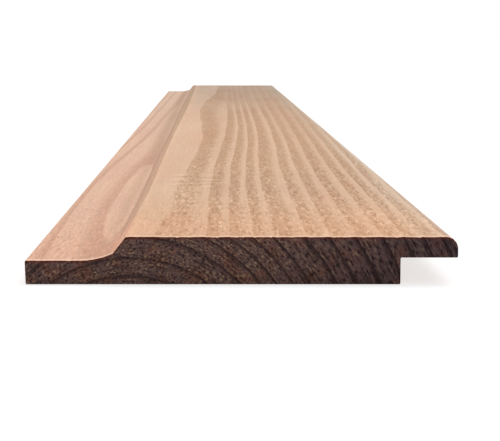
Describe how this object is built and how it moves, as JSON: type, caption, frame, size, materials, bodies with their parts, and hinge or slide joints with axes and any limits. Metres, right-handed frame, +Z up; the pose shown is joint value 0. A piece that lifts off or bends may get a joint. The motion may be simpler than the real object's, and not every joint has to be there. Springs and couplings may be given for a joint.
{
  "type": "shiplap cladding board",
  "caption": "Long softwood cladding board with a rebated lip on one edge and a thin tongue on the other, joined to the face by a cove and a steep shoulder, so that boards lap and shed rain.",
  "frame": {"origin": "on the floor, under the middle of the board's outer box, with the back of the board down", "axes": "+X across the board from the tongue to the lip, +Y along the board and the grain, +Z up through the weather face"},
  "size_m": [0.145, 1.8, 0.016],
  "materials": {
    "timber": "fine sawn weather face, planed tongue and cove, dark cross-cut ends, untreated"
  },
  "bodies": {
    "root": {"board": "timber"}
  },
  "joints": []
}
